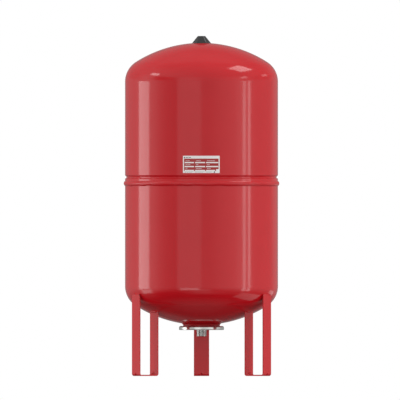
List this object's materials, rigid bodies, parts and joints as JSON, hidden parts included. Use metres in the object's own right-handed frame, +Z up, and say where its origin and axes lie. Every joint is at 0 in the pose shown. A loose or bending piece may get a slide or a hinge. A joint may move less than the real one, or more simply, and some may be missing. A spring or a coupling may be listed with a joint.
{
  "type": "expansion vessel",
  "caption": "Upright red steel expansion vessel on three flat-bar legs, with a bolted bottom flange and threaded stub, a bladder inside, and a charging valve under a black cap on top.",
  "frame": {"origin": "on the floor, under the vessel's axis", "axes": "+Z up along the vessel's axis, -Y towards the label, +X to the right of someone who reads the label"},
  "size_m": [0.5089, 0.509, 1.1116],
  "materials": {
    "red_powder_coat": "gloss powder coat",
    "bare_steel": "mill finish",
    "zinc_plate": "bright zinc plating",
    "fastener_zinc": "zinc plating",
    "bladder_rubber": "moulded matt",
    "seal_rubber": "matt",
    "brass": "turned",
    "spring_steel": "drawn wire",
    "black_plastic": "moulded satin",
    "dust_cap_plastic": "moulded",
    "label_film": "printed film"
  },
  "bodies": {
    "vessel": {"upper_shell": "red_powder_coat", "lower_shell": "red_powder_coat", "seam_weld": "red_powder_coat", "seam_backing_ring": "bare_steel", "neck_ring": "red_powder_coat", "neck_weld": "red_powder_coat", "leg_rear": "red_powder_coat", "leg_front_left": "red_powder_coat", "leg_front_right": "red_powder_coat", "leg_welds": "red_powder_coat", "flange": "zinc_plate", "connection_stub": "zinc_plate", "stub_weld": "zinc_plate", "flange_bolts": "fastener_zinc", "flange_washers": "fastener_zinc", "bladder_neck": "bladder_rubber", "bladder_wall": "bladder_rubber", "valve_boss": "red_powder_coat", "boss_weld": "red_powder_coat", "valve_stem": "brass", "valve_seal": "seal_rubber", "core_barrel": "brass", "core_spring": "spring_steel", "nameplate": "label_film"},
    "protective_cap": {"protective_cap": "black_plastic"},
    "dust_cap_lifter": {"dust_cap_seal": "seal_rubber"},
    "dust_cap": {"dust_cap": "dust_cap_plastic"},
    "valve_pin": {"valve_pin": "brass", "core_seal": "seal_rubber"},
    "bladder_top": {"bladder_crown": "bladder_rubber"}
  },
  "joints": [
    {"name": "cap_lift", "type": "slide", "parent": "vessel", "child": "protective_cap", "axis": [0, 0, 1], "range_m": [0, 0.045]},
    {"name": "dust_cap_lift", "type": "slide", "parent": "vessel", "child": "dust_cap_lifter", "axis": [0, 0, 1], "range_m": [0, 0.00476]},
    {"name": "dust_cap_turn", "type": "hinge", "parent": "dust_cap_lifter", "child": "dust_cap", "pos_m": [0, 0, 1.10224], "axis": [0, 0, 1], "range_deg": [0, 2160]},
    {"name": "valve_pin_press", "type": "slide", "parent": "vessel", "child": "valve_pin", "axis": [0, 0, -1], "range_m": [0, 0.0015], "stiffness_N_per_m": 2000, "springref_m": -0.001, "deforming": ["core_spring"]},
    {"name": "bladder_fill", "type": "slide", "parent": "vessel", "child": "bladder_top", "axis": [0, 0, 1], "range_m": [0, 0.28], "deforming": ["bladder_wall"]}
  ],
  "couplings": [
    {"joint": "dust_cap_turn", "follows": "dust_cap_lift", "rad_per_m": 7913.3}
  ]
}
